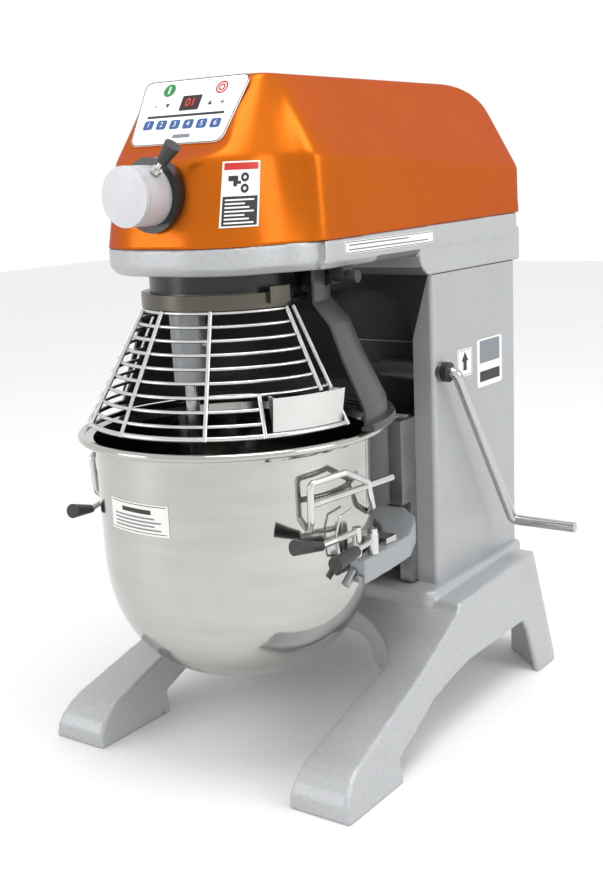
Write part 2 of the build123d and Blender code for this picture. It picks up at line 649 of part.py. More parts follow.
# ---- agitator -----------------------------------------------------------------------------
with BuildPart() as agitator_shaft:
    add(drum(orbit_plane.offset(557.9), 9, 19))
    add(drum(orbit_plane.offset(536), 13, 21.9))
    with BuildSketch(orbit_plane.offset(457)):
        Circle(19.5)
    with BuildSketch(orbit_plane.offset(536)):
        Circle(21)
    loft()
    add(drum(orbit_plane.offset(457), 8.5, 60), mode=Mode.SUBTRACT)
    add(pole(at(orbit_x, orbit_y, 500), at(orbit_x + 28, orbit_y, 500), 3.5))
    add(drum(orbit_plane.offset(457), 8.5, 60), mode=Mode.SUBTRACT)
save(agitator_shaft, "agitator_shaft")

HOOK_TURNS = [(0, 0, 352), (14, -22, 318), (40, -12, 285), (46, 20, 255), (16, 44, 228),
              (-20, 36, 202), (-36, 4, 180), (-22, -24, 160), (6, -26, 144), (20, -8, 133)]
with BuildPart() as dough_hook:
    add(drum(orbit_plane.offset(352), 8, 164))
    with BuildLine() as hook_path:
        Spline(*[at(orbit_x + x, orbit_y + y, z) for x, y, z in HOOK_TURNS],
               tangents=((0, 0, -1), (0.6, 0.6, -0.2)))
    with BuildSketch(Plane(origin=hook_path.line @ 0, z_dir=hook_path.line % 0)):
        Circle(8)
    sweep(path=hook_path.line)
save(dough_hook, "dough_hook")

# ---- guard --------------------------------------------------------------------------------
with BuildPart() as guard_track:
    add(spun([(80, 545), (93.4, 545), (93.4, 549), (86, 549), (86, 560), (80, 560)], 0, 360))
save(guard_track, "guard_track")
with BuildPart() as guard_band:
    add(spun([(93.8, 543), (97, 543), (97, 559.5), (87, 559.5), (87, 556), (93.8, 556)], -178, 176))
    add(spun([(96, 548), (103, 548), (103, 566), (99, 566), (99, 561), (96, 559)], -24, 15))
save(guard_band, "guard_band")


def cone(z):
    """Radius of the wire cage at a height."""
    return CONE_R + (CONE_Z - z) * CONE_SLOPE


with BuildPart() as guard_cage:
    for i in range(RING_COUNT):
        height = max(RING_HIGH - RING_STEP * i, RING_LOW)
        last = -10 if i < 6 else (-3 if i == 6 else (-40 if i < RING_COUNT - 1 else -2))
        add(hoop(cone(height), height, 3 if i == RING_COUNT - 1 else 2, -178, last + 178))
    for angle, low, high in ((-177, RING_LOW, 542), (-152, RING_LOW, 542), (-125, RING_LOW, 542),
                             (-98, RING_LOW, 542), (-62, RING_LOW, 542), (-40, RING_LOW, 458),
                             (-10, 455, 542), (-3.5, RING_LOW, 542)):
        x0, y0 = polar(cone(low) + 3.2, angle)
        x1, y1 = polar(cone(high) + 3.2, angle)
        add(pole(at(x0, y0, low - 2), at(x1, y1, high), 2.4))
save(guard_cage, "guard_cage")
with BuildPart() as guard_chute:
    add(spun([(163.4, 420), (165, 420), (171, 457), (169.4, 457)], -37, 31))
    for angle in (-37, -7.2):
        add(spun([(150, 456), (162.7, 420), (165, 420), (171, 457)], angle, 1.2))
save(guard_chute, "guard_chute")

with BuildPart() as rear_shield:
    add(spun([(174, 404.6), (190, 404.6), (190.5, 407), (189, 413), (181, 413), (180, 428),
              (155, 482), (140.4, 520), (119.5, 545), (119.5, HEAD_UNDER), (116.5, HEAD_UNDER),
              (116.5, 543.6), (137.6, 518.8), (152.2, 481), (177, 427.5), (177.5, 409), (174, 409)],
             2, 176))
    add(block(84, 141, 33, 57, 560, HEAD_UNDER), mode=Mode.SUBTRACT)
save(rear_shield, "rear_shield")
with BuildPart() as interlock_arm:
    add(block(86, 122, 36, 54, 562, 574))
    add(drum(Plane(origin=at(121, 45, 570), z_dir=(1, 0, 0)), 7, 30))
    add(block(121, 138, 34, 56, 568, HEAD_UNDER))
save(interlock_arm, "interlock_arm")

# ---- bowl ---------------------------------------------------------------------------------
def bowl_curve(shrink):
    """Radius and height pairs down the outside of the bowl."""
    low = BOWL_R - BOWL_TAPER * (389 - BOWL_SHOULDER)
    drop = BOWL_SHOULDER - BOWL_BOTTOM
    pairs = []
    for i in range(13):
        t = math.radians(90 * i / 12)
        pairs.append(((low - shrink) * max(math.cos(t), 0) ** (2 / BOWL_POWER),
                      BOWL_SHOULDER - (drop - shrink) * math.sin(t) ** (2 / BOWL_POWER)))
    return pairs


bowl_plane = Plane(origin=(0, AXIS_Y, 0), x_dir=(1, 0, 0), z_dir=(0, -1, 0))


def bowl_solid(shrink):
    """Solid of revolution under the bowl surface."""
    curve = bowl_curve(shrink)
    with BuildPart() as body:
        with BuildSketch(bowl_plane):
            with BuildLine():
                Polyline((0, curve[-1][1]), (0, 389), (BOWL_R - shrink, 389), curve[0])
                Spline(*curve, tangents=((0, -1), (-1, 0)))
            make_face()
        revolve(axis=SPINDLE)
    return body.part


with BuildPart() as bowl_shell:
    add(bowl_solid(0))
    with BuildSketch(bowl_plane):
        with BuildLine():
            Polyline((0, 388), (BOWL_R, 388), (BOWL_R + 3, 394), (173, 396.5), (173, 401),
                     (0, 401), close=True)
        make_face()
        with Locations((BOWL_RIM_R - 4.3, BOWL_RIM_Z)):
            Circle(4.3)
    revolve(axis=SPINDLE)
    add(bowl_solid(BOWL_WALL), mode=Mode.SUBTRACT)
    with BuildSketch(bowl_plane):
        Polygon((0, 387), (BOWL_R - BOWL_WALL, 387), (BOWL_R + 1.4, 396), (172, 399), (172, 404),
                (0, 404), align=None)
    revolve(axis=SPINDLE, mode=Mode.SUBTRACT)
save(bowl_shell, "bowl_shell")

with BuildPart() as bowl_handles:
    for side in (1, -1):
        add(bent_rod([at(side * 148.2, -65.6, 307), at(side * 158, -75, 318), at(side * 160, -76, 362),
                      at(side * 175, -30, 366), at(side * 176, 12, 346), at(side * 170, 30, 312),
                      at(side * 156.6, 43, 302)], 3.8, 6))
        add(pole(at(side * 159, -74, 338), at(side * 181, 56, 342), 3.8))
save(bowl_handles, "bowl_handles")
with BuildPart() as bowl_ears:
    for side in (1, -1):
        add(block(min(side * 156, side * 181), max(side * 156, side * 181), 40, 62, YOKE_TOP, 273))
    add(bowl_solid(0), mode=Mode.SUBTRACT)
save(bowl_ears, "bowl_ears")
with BuildPart() as bowl_label:
    add(spun([(161.2, 307), (162.1, 307), (162.1, 342), (161.55, 342)], -111, 32))
save(bowl_label, "bowl_label")

# ---- bowl lift ----------------------------------------------------------------------------
with BuildPart() as slide_rails:
    for side in (1, -1):
        add(block(min(side * 97, side * 115), max(side * 97, side * 115), 209, 244, 160, 376))
        add(block(min(side * 97, side * 115), max(side * 97, side * 115), 188, 210, 268, 376))
        add(block(min(side * 95, side * 106.5), max(side * 95, side * 106.5), 213.6, 224.4, 150, 386),
            mode=Mode.SUBTRACT)
save(slide_rails, "slide_rails")

YOKE_EDGE = [(0, 214), (92, 214), (93, 206), (117, 191), (149, 160), (161, 141), (183, 90), (188, 33),
             (190, -20), (164, -20)]
CLAMP_X, CLAMP_Y, LATCH_X, LATCH_Y = 172.0, -12.0, 183.0, 8.0
with BuildPart() as bowl_yoke:
    with BuildSketch(AXIS.offset(238)):
        Polygon(*mirrored(YOKE_EDGE), align=None)
        Circle(YOKE_IN_R, mode=Mode.SUBTRACT)
        with Locations((0, -60)):
            Rectangle(330, 120, mode=Mode.SUBTRACT)
    extrude(amount=YOKE_TOP - 238)
    for x in (-CLAMP_X - 3, CLAMP_X + 3):
        add(drum(Plane(origin=at(x, CLAMP_Y, 238)), 3 + FIT, 30), mode=Mode.SUBTRACT)
    add(drum(Plane(origin=at(LATCH_X, LATCH_Y, 238)), 3 + FIT, 30), mode=Mode.SUBTRACT)
save(bowl_yoke, "bowl_yoke")

with BuildPart() as slide_block:
    add(block(-92, 92, 190, 224, YOKE_TOP, 378))
    for side in (1, -1):
        add(block(min(side * 90, side * 96.5), max(side * 90, side * 96.5), 190, 224, 268, 378))
        add(block(min(side * 95, side * 106), max(side * 95, side * 106), 214, 224, 268, 378))
    add(block(-70, 70, 200, 225, 285, 345), mode=Mode.SUBTRACT)
    add(block(-10, 10, 204, 225, 345, 379), mode=Mode.SUBTRACT)
save(slide_block, "slide_block")

PITCH = math.pi * MODULE
lift_r = MODULE * LIFT_TEETH / 2
rack_line = LIFT_Y - lift_r
with BuildPart() as lift_rack:
    with BuildSketch(SIDE.offset(-9)):
        Polygon((204, 345), (rack_line - 2.4, 345), (rack_line - 2.4, 522), (204, 522), align=None)
        for i in range(-12, 14):
            mid = LIFT_Z + PITCH * (i + 0.5)
            Polygon((rack_line - 2.5, mid - 0.3 * PITCH), (rack_line + 1.8, mid - 0.12 * PITCH),
                    (rack_line + 1.8, mid + 0.12 * PITCH), (rack_line - 2.5, mid + 0.3 * PITCH),
                    align=None)
    extrude(amount=18)
save(lift_rack, "lift_rack")
with BuildPart() as lift_pinion:
    with BuildSketch(SIDE.offset(-8)):
        with Locations((LIFT_Y, LIFT_Z)):
            Polygon(*gear_points(LIFT_TEETH, lift_r, 1.8, 2.4, 0.0, 0.40), align=None)
    extrude(amount=16)
    add(drum(Plane(origin=at(8, LIFT_Y, LIFT_Z), z_dir=(1, 0, 0)), 9, 142.4))
save(lift_pinion, "lift_pinion")
with BuildPart() as lever_bush:
    add(drum(Plane(origin=at(60, LIFT_Y, LIFT_Z), z_dir=(1, 0, 0)), 13, 90, 9 + FIT))
save(lever_bush, "lever_bush")
with BuildPart() as lift_lever:
    add(drum(Plane(origin=at(150.4, LIFT_Y, LIFT_Z), z_dir=(1, 0, 0)), 12.5, 8))
    add(bent_rod([at(157, 240, 433), at(167, 240, 433), at(178, 375, 210), at(268, 375, 210)], 7, 8))
save(lift_lever, "lift_lever")

with BuildPart() as bail_wires:
    add(bent_rod([at(171, -19, 265), at(168, -37, 268), at(167, -40, 300), at(168, -34, 316),
                  at(169, -12, 320)], 1.4, 2.5))
save(bail_wires, "bail_wires")
with BuildPart() as yoke_pins:
    for side in (1, -1):
        add(pole(at(side * 174, -20, 252), at(side * 171, -33, 238), 5))
        add(pole(at(side * 183, -20, 244), at(side * 183, -24, 244), 4.5))
save(yoke_pins, "yoke_pins")


def clamp(side):
    """Cam hub with its pin, bent rod and tapered knob."""
    with BuildPart() as body:
        add(drum(Plane(origin=at(side * (CLAMP_X + 3), CLAMP_Y, YOKE_TOP + AIR)), 5.5, 34.6))
        add(drum(Plane(origin=at(side * (CLAMP_X + 3), CLAMP_Y, 239)), 3, 30))
        add(bent_rod([at(side * 175, -12, 295), at(side * 175, -54, 296), at(side * 170, -76, 294)],
                     3.5, 8))
        add(pole(at(side * 170.4, -74, 294.2), at(side * 162, -113, 302), 5, 8.6))
    return body


clamp_right = clamp(1)
save(clamp_right, "clamp_right")
clamp_left = clamp(-1)
save(clamp_left, "clamp_left")
with BuildPart() as latch_lever:
    add(drum(Plane(origin=at(LATCH_X, LATCH_Y, YOKE_TOP + AIR)), 6.3, 24))
    with BuildSketch(Plane(origin=at(LATCH_X, LATCH_Y, YOKE_TOP + AIR + 24))):
        RegularPolygon(6.2, 6)
    extrude(amount=5)
    add(drum(Plane(origin=at(LATCH_X, LATCH_Y, 239)), 3, 30))
    add(pole(at(184.2, 4, 281), at(187.5, -36, 280), 3.0))
    add(pole(at(187.5, -34, 280), at(190, -79, 277.6), 6.4, 8.6))
save(latch_lever, "latch_lever")
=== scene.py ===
import bmesh
import bpy
import math
from mathutils import Matrix, Vector


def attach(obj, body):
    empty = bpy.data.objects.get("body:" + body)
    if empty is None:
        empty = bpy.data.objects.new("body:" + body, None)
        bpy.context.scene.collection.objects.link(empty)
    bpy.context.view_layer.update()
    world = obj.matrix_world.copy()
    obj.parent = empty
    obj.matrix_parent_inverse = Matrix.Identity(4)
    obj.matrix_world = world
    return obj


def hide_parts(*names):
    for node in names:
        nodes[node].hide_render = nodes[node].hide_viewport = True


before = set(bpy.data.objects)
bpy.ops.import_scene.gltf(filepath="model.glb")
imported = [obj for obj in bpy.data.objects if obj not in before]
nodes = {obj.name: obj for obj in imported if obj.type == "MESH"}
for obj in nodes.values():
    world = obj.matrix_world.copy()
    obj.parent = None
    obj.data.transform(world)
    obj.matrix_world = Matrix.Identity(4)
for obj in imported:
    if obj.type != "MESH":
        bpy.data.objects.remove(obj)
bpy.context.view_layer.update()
AY = -0.180                                   # bowl axis


# ---------------------------------------------------------------- materials
def shade(name, rgb, rough=0.4, metal=0.0, grain=700.0, grain_amt=0.06, mottle=14.0, mottle_amt=0.06,
          bump=0.0, bump_scale=500.0, rough_var=0.08, coat=0.0, spec=0.5, stretch=(1, 1, 1),
          edge=(255, 255, 255)):
    """Procedural surface: fine grain and broad mottling in colour, roughness and height."""
    m = bpy.data.materials.new(name)
    m.use_nodes = True
    nt = m.node_tree
    bsdf = nt.nodes["Principled BSDF"]
    bsdf.inputs["Metallic"].default_value = metal
    bsdf.inputs["Coat Weight"].default_value = coat
    bsdf.inputs["Coat Roughness"].default_value = 0.12
    bsdf.inputs["Specular IOR Level"].default_value = spec
    bsdf.inputs["Specular Tint"].default_value = (*[srgb(c) for c in edge], 1)
    tc = nt.nodes.new("ShaderNodeTexCoord")
    mp = nt.nodes.new("ShaderNodeMapping")
    mp.inputs["Scale"].default_value = stretch
    nt.links.new(tc.outputs["Object"], mp.inputs["Vector"])

    def noise(scale, detail):
        n = nt.nodes.new("ShaderNodeTexNoise")
        n.inputs["Scale"].default_value = scale
        n.inputs["Detail"].default_value = detail
        nt.links.new(mp.outputs["Vector"], n.inputs["Vector"])
        return n.outputs["Fac"]

    fine, broad = noise(grain, 2.0), noise(mottle, 4.0)

    def ranged(source, low, high):
        r = nt.nodes.new("ShaderNodeMapRange")
        r.inputs["From Min"].default_value = 0.25
        r.inputs["From Max"].default_value = 0.75
        r.inputs["To Min"].default_value = low
        r.inputs["To Max"].default_value = high
        nt.links.new(source, r.inputs["Value"])
        return r.outputs["Result"]

    value = nt.nodes.new("ShaderNodeMath")
    value.operation = "MULTIPLY"
    nt.links.new(ranged(fine, 1 - grain_amt, 1 + grain_amt), value.inputs[0])
    nt.links.new(ranged(broad, 1 - mottle_amt, 1 + mottle_amt), value.inputs[1])
    hsv = nt.nodes.new("ShaderNodeHueSaturation")
    hsv.inputs["Color"].default_value = (*[srgb(c) for c in rgb], 1)
    nt.links.new(value.outputs[0], hsv.inputs["Value"])
    nt.links.new(hsv.outputs["Color"], bsdf.inputs["Base Color"])
    nt.links.new(ranged(broad, max(rough - rough_var, 0.02), min(rough + rough_var, 1)),
                 bsdf.inputs["Roughness"])
    if bump > 0:
        b = nt.nodes.new("ShaderNodeBump")
        b.inputs["Strength"].default_value = bump
        b.inputs["Distance"].default_value = 0.0006
        nt.links.new(noise(bump_scale, 1.0), b.inputs["Height"])
        nt.links.new(b.outputs["Normal"], bsdf.inputs["Normal"])
    return m


def srgb(c):
    """Linear value of an 8-bit display value."""
    c = c / 255
    return c / 12.92 if c <= 0.04045 else ((c + 0.055) / 1.055) ** 2.4


M = {
    "grey": shade("hammered_grey", (176, 178, 180), 0.42, 0.35, 380, 0.10, 18, 0.03, 0.35, 330),
    "lip": shade("grey_column", (170, 172, 174), 0.42, 0.35, 380, 0.10, 18, 0.03, 0.35, 330),
    "orange": shade("orange_enamel", (190, 96, 18), 0.34, 0.72, 900, 0.10, 9, 0.04, 0.12, 700, 0.05, 0.08,
                    edge=(216, 128, 44)),
    "black": shade("black_plastic", (40, 41, 40), 0.42, 0.0, 600, 0.10, 30, 0.08, 0.15, 700),
    "black_gloss": shade("black_enamel", (26, 26, 26), 0.28, 0.0, 600, 0.08, 20, 0.08, 0.05, 500),
    "steel": shade("polished_steel", (188, 189, 188), 0.16, 1.0, 900, 0.02, 25, 0.05, 0.02, 600, 0.05),
    "bowl": shade("bowl_steel", (184, 184, 180), 0.10, 1.0, 500, 0.03, 9, 0.06, 0.02, 160, 0.04,
                  stretch=(1, 1, 6)),
    "wire": shade("wire_steel", (205, 205, 203), 0.22, 1.0, 900, 0.03, 40, 0.05, 0.02, 500),
    "machined": shade("machined_steel", (150, 151, 152), 0.34, 0.9, 700, 0.06, 40, 0.06, 0.08, 600),
    "rubber": shade("belt_rubber", (28, 28, 28), 0.75, 0.0, 800, 0.1, 40, 0.08, 0.2, 900),
    "film": shade("panel_film", (244, 245, 245), 0.36, 0.0, 900, 0.02, 20, 0.02),
    "white": shade("label_white", (232, 231, 226), 0.45, 0.0, 900, 0.02, 20, 0.02),
    "red": shade("label_red", (190, 38, 30), 0.45, 0.0, 900, 0.02, 20, 0.02),
    "ink": shade("label_ink", (38, 38, 40), 0.5, 0.0, 900, 0.03, 20, 0.03),
    "blue": shade("key_blue", (44, 86, 150), 0.4, 0.0, 900, 0.02, 20, 0.02),
    "green": shade("key_green", (36, 130, 70), 0.4, 0.0, 900, 0.02, 20, 0.02),
    "grey_ink": shade("key_grey", (120, 126, 132), 0.45, 0.0, 900, 0.02, 20, 0.02),
    # painted shade: near-black grey for the shaded faces of the column recess
    "recess": shade("recess_painted_shade", (34, 35, 35), 0.6, 0.0, 380, 0.08, 12, 0.05, 0.2, 330),
    "under": shade("shaded_grey", (104, 106, 108), 0.5, 0.2, 380, 0.08, 12, 0.05, 0.3, 330),
    "yoke": shade("yoke_grey", (150, 153, 156), 0.40, 0.35, 380, 0.10, 18, 0.03, 0.35, 330),
    "key_light": shade("key_light", (222, 224, 226), 0.4, 0.0, 900, 0.02, 20, 0.02),
    "glass": shade("display_glass", (36, 14, 16), 0.12, 0.0, 900, 0.02, 20, 0.02),
    "digit": shade("display_digit", (224, 60, 46), 0.4, 0.0, 900, 0.02, 20, 0.02),
    "hub": shade("hub_casting", (186, 187, 190), 0.40, 0.3, 500, 0.05, 20, 0.03, 0.10, 420),
    "sleeve": shade("sleeve_grey", (160, 163, 166), 0.35, 0.5, 380, 0.08, 18, 0.03, 0.2, 330),
    "shield": shade("shield_grey", (66, 68, 67), 0.36, 0.3, 380, 0.06, 12, 0.05, 0.1, 330),
    "band": shade("band_steel", (96, 93, 84), 0.28, 0.9, 700, 0.05, 25, 0.05, 0.03, 500),
}
LOOK = {
    "base_casting": "grey", "column_casting": "lip", "head_casting": "grey", "column_rear_cover": "grey",
    "bowl_yoke": "grey", "agitator_shaft": "sleeve", "rear_shield": "shield", "bearing_bridge": "grey",
    "slide_block": "grey", "head_cover": "orange", "control_panel": "film", "warning_label": "white",
    "side_label": "white", "lift_labels": "white", "bowl_label": "white", "bowl_shell": "bowl",
    "bowl_handles": "wire", "bowl_ears": "steel", "guard_cage": "wire", "guard_band": "band",
    "guard_chute": "wire", "lift_lever": "steel", "bail_wires": "wire", "hub_cap": "hub",
    "dough_hook": "steel", "hub_housing": "hub", "hub_flange": "black_gloss", "drip_ring": "black_gloss",
    "drive_motor": "black_gloss", "drive_belt": "rubber", "guard_track": "machined",
    "clamp_right": "wire", "clamp_left": "wire", "latch_lever": "wire", "thumb_screw": "wire",
    "cable_gland": "black", "interlock_arm": "black", "control_board": "black", "inverter_drive": "black",
}
for name, obj in nodes.items():
    obj.data.materials.clear()
    obj.data.materials.append(M[LOOK.get(name, "machined")])


# ---------------------------------------------------------------- mesh helpers
def put(name, verts, faces, mat, body="frame", smooth=False):
    me = bpy.data.meshes.new(name)
    me.from_pydata([tuple(v) for v in verts], [], faces)
    me.validate()
    me.update()
    me.materials.append(M[mat])
    if smooth:
        me.polygons.foreach_set("use_smooth", [True] * len(me.polygons))
    ob = bpy.data.objects.new(name, me)
    bpy.context.scene.collection.objects.link(ob)
    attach(ob, body)
    return ob


def rounded(w, h, r, cx=0.0, cy=0.0, n=6):
    """Rounded rectangle outline as 2-D points."""
    pts = []
    for sx, sy, a0 in ((1, 1, 0), (-1, 1, 90), (-1, -1, 180), (1, -1, 270)):
        for i in range(n + 1):
            a = math.radians(a0 + 90 * i / n)
            pts.append((cx + sx * (w / 2 - r) + r * math.cos(a), cy + sy * (h / 2 - r) + r * math.sin(a)))
    return pts


def disc(r, cx=0.0, cy=0.0, n=32):
    return [(cx + r * math.cos(2 * math.pi * i / n), cy + r * math.sin(2 * math.pi * i / n))
            for i in range(n)]


def decal(name, outline, frame3, lift, thick, mat, body="frame"):
    """Flat plate with its outline in a local plane (origin, x, y, normal), in metres."""
    o, x, y, z = frame3
    k = len(outline)
    v = [o + x * a + y * b + z * lift for a, b in outline]
    v += [o + x * a + y * b + z * (lift + thick) for a, b in outline]
    f = [tuple(range(k - 1, -1, -1)), tuple(range(k, 2 * k))]
    f += [(i, (i + 1) % k, k + (i + 1) % k, k + i) for i in range(k)]
    return put(name, v, f, mat, body)


def glyph(name, text, size, frame3, cx, cy, lift, mat, body="frame"):
    """A digit or sign as a thin plate."""
    cu = bpy.data.curves.new(name + "_c", "FONT")
    cu.body, cu.size, cu.extrude = text, size, 0.0001
    cu.align_x, cu.align_y = "CENTER", "CENTER"
    tmp = bpy.data.objects.new(name + "_t", cu)
    bpy.context.scene.collection.objects.link(tmp)
    bpy.context.view_layer.update()
    me = bpy.data.meshes.new_from_object(tmp.evaluated_get(bpy.context.evaluated_depsgraph_get()))
    bpy.data.objects.remove(tmp)
    o, x, y, z = frame3
    for vert in me.vertices:
        p = vert.co
        vert.co = o + x * (cx + p.x) + y * (cy + p.y) + z * (lift + p.z)
    me.materials.clear()
    me.materials.append(M[mat])
    ob = bpy.data.objects.new(name, me)
    bpy.context.scene.collection.objects.link(ob)
    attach(ob, body)
    return ob


def soften(node, voxel, steps, mat, body="frame"):
    """The CAD piece again with the soft edges of a casting or pressing."""
    src = nodes[node]
    bm = bmesh.new()
    bm.from_mesh(src.data)
    bmesh.ops.remove_doubles(bm, verts=bm.verts, dist=1e-5)
    me = bpy.data.meshes.new(node + "_soft")
    bm.to_mesh(me)
    bm.free()
    tmp = bpy.data.objects.new(node + "_tmp", me)
    bpy.context.scene.collection.objects.link(tmp)
    rm = tmp.modifiers.new("remesh", "REMESH")
    rm.mode, rm.voxel_size = "VOXEL", voxel
    sm = tmp.modifiers.new("smooth", "SMOOTH")
    sm.factor, sm.iterations = 0.5, steps
    dc = tmp.modifiers.new("thin", "DECIMATE")
    dc.ratio = 0.35
    bpy.context.view_layer.update()
    out = bpy.data.meshes.new_from_object(tmp.evaluated_get(bpy.context.evaluated_depsgraph_get()))
    bpy.data.objects.remove(tmp)
    out.materials.clear()
    out.materials.append(M[mat])
    out.polygons.foreach_set("use_smooth", [True] * len(out.polygons))
    ob = bpy.data.objects.new(node + "_soft", out)
    bpy.context.scene.collection.objects.link(ob)
    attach(ob, body)
    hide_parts(node)
    return ob


# ---------------------------------------------------------------- head cover as a smooth pressing
LOW = [(0, -117), (45, -115), (80, -101), (104, -76), (121, -45), (133, -25), (145, -8), (147, 14)]
MID = [(0, -105), (40, -103), (71, -90), (93, -67), (108, -39), (124, -25), (141, -14), (145.5, 14)]
TOP = [(0, -24), (40, -24), (62, -23.5), (74, -21), (80, -14), (81, -2), (81, 12), (81, 30)]
REAR, ROOF = 482.5, 790.6


def spline_at(pts, u):
    """Smooth curve through points; u counts the points, mirrored before the first one."""
    ext = [(-pts[1][0], pts[1][1])] + list(pts) + [(2 * pts[-1][0] - pts[-2][0],
            2 * pts[-1][1] - pts[-2][1])]
    i = min(int(u), len(pts) - 2)
    t = u - i
    a, b, c, d = ext[i:i + 4]
    return tuple(0.5 * (2 * b[k] + (c[k] - a[k]) * t + (2 * a[k] - 5 * b[k] + 4 * c[k] - d[k]) * t * t
                        + (3 * b[k] - a[k] - 3 * c[k] + d[k]) * t ** 3) for k in (0, 1))


def table_at(table, x):
    """Straight interpolation in a list of pairs."""
    for (x0, y0), (x1, y1) in zip(table, table[1:]):
        if x <= x1:
            return y0 + (y1 - y0) * max(x - x0, 0) / (x1 - x0)
    return table[-1][1]


FRONT_LIMIT = [(690, -130), (700, -106), (708, -92), (713, -81), (717, -76), (789, -27), (791, -25)]
REAR_LIMIT = [(700, 482.5), (725, 481.5), (745, 477), (765, 466), (779, 443), (787, 415), (791, 389)]


def column(u):
    """Low, middle and top plan points of one upright line of the cover; u runs 0..7, 7..8, 8..9, 9..10."""
    if u <= 7:
        return spline_at(LOW, u), spline_at(MID, u), spline_at(TOP, u)
    if u <= 8:
        y = 14 + (REAR - 24 - 14) * (u - 7)
        yt = 30 + (REAR - 24 - 30) * (u - 7)
        return (147, y), (145.5, y), (81, yt)
    if u <= 9:
        a = (u - 8) * math.pi / 2
        dx, dy = 24 * (1 - math.cos(a)), 24 * math.sin(a)
        return (147 - dx, REAR - 24 + dy), (145.5 - dx, REAR - 24 + dy), (81 - dx, REAR - 24 + dy)
    k = 10 - u
    return (123 * k, REAR), (121.5 * k, REAR), (57 * k, REAR)


def cover_point(u, v):
    """Point on the cover in mm: v = 0 at the joint, 1 at the side crease, 2 at the roof."""
    low, mid, top = column(u)
    crease = 703 - 23 * max(mid[1] + 15, 0) / 482
    seam = 611.2 + (low[1] + 117) * 9 / 591
    if v <= 1:
        x, y, z = (low[0] + (mid[0] - low[0]) * v, low[1] + (mid[1] - low[1]) * v,
                   seam + (crease - seam) * v)
    else:
        w = v - 1
        x, y, z = (mid[0] + (top[0] - mid[0]) * w, mid[1] + (top[1] - mid[1]) * w,
                   crease + (ROOF - crease) * w)
    y = max(y, table_at(FRONT_LIMIT, z))
    y = min(y, table_at(REAR_LIMIT, z))
    return Vector((x, y, z))


def cover_at(side, u, v, lift):
    """Point on or above the cover on either side, in metres in the row frame."""
    p = cover_point(u, v)
    e = 0.02
    du = cover_point(u + e, v) - cover_point(max(u - e, 0), v)
    dv = cover_point(u, v + e) - cover_point(u, max(v - e, 0))
    n = du.cross(dv).normalized()
    p = p + n * lift
    return Vector((side * p.x, p.y, p.z)) * 0.001 + Vector((0, AY, 0))


us = [i / 9 for i in range(63)] + [7 + i / 44 for i in range(44)] + [8 + i / 8 for i in range(8)]
us += [9 + i / 14 for i in range(15)]
vs = [i / 30 for i in range(61)]
verts, faces = [], []
line = [(1, u) for u in us] + [(-1, u) for u in reversed(us[1:-1])]
for v in vs:
    for side, u in line:
        p = cover_point(u, v)
        verts.append(Vector((side * p.x, p.y, p.z)) * 0.001 + Vector((0, AY, 0)))
for k in (0.985, 0.95, 0.8):
    for side, u in line:
        p = cover_point(u, 2)
        verts.append(Vector((side * p.x * k, 180 + (p.y - 180) * k, p.z)) * 0.001 + Vector((0, AY, 0)))
n = len(line)
for r in range(len(vs) + 2):
    for i in range(n):
        j = (i + 1) % n
        faces.append((r * n + i, r * n + j, (r + 1) * n + j, (r + 1) * n + i))
faces.append(tuple((len(vs) + 2) * n + i for i in range(n)))
bm = bmesh.new()
bv = [bm.verts.new(co) for co in verts]
for f in faces:
    bm.faces.new([bv[i] for i in f])
bmesh.ops.remove_doubles(bm, verts=bm.verts, dist=2e-5)
bmesh.ops.recalc_face_normals(bm, faces=bm.faces)
for _ in range(5):
    loose = [v for v in bm.verts if v.co.z > 0.632]
    bmesh.ops.smooth_vert(bm, verts=loose, factor=0.5, use_axis_x=True, use_axis_y=True, use_axis_z=True)
me = bpy.data.meshes.new("cover_pressing")
bm.to_mesh(me)
bm.free()
me.materials.append(M["orange"])
me.polygons.foreach_set("use_smooth", [True] * len(me.polygons))
cover = bpy.data.objects.new("cover_pressing", me)
scene_col = bpy.context.scene.collection
scene_col.objects.link(cover)
thick = cover.modifiers.new("wall", "SOLIDIFY")
thick.thickness, thick.offset = 0.0035, -1
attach(cover, "frame")
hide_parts("head_cover")


def label_point(a, b, lift):
    """Point of the warning label; a and b run from 0 to 1 over its 43 x 66 mm."""
    left, right_ = 1.90 + 0.24 * b, 3.12 + 0.26 * b
    return cover_at(1, left + (right_ - left) * a, 0.22 + 0.735 * b, lift)


def cover_patch(name, a0, a1, b0, b1, lift, mat):
    """Rectangle of the warning label laid on the cover."""
    v, f, k = [], [], 8
    for j in range(k + 1):
        v += [label_point(a0 + (a1 - a0) * i / k, b0 + (b1 - b0) * j / k, lift) for i in range(k + 1)]
    for j in range(k):
        for i in range(k):
            q = j * (k + 1) + i
            f.append((q, q + 1, q + k + 2, q + k + 1))
    return put(name, v, f, mat, "frame")


def cover_ring(name, ca, cb, r0, r1, mat):
    """Round mark of the warning label; radii in mm."""
    v, f, k = [], [], 28
    for r in (r0, r1):
        v += [label_point(ca + r / 43 * math.cos(2 * math.pi * i / k),
                          cb + r / 66 * math.sin(2 * math.pi * i / k), 0.9)
              for i in range(k)]
    for i in range(k):
        j = (i + 1) % k
        f.append((i, j, k + j, k + i))
    return put(name, v, f, mat, "frame")


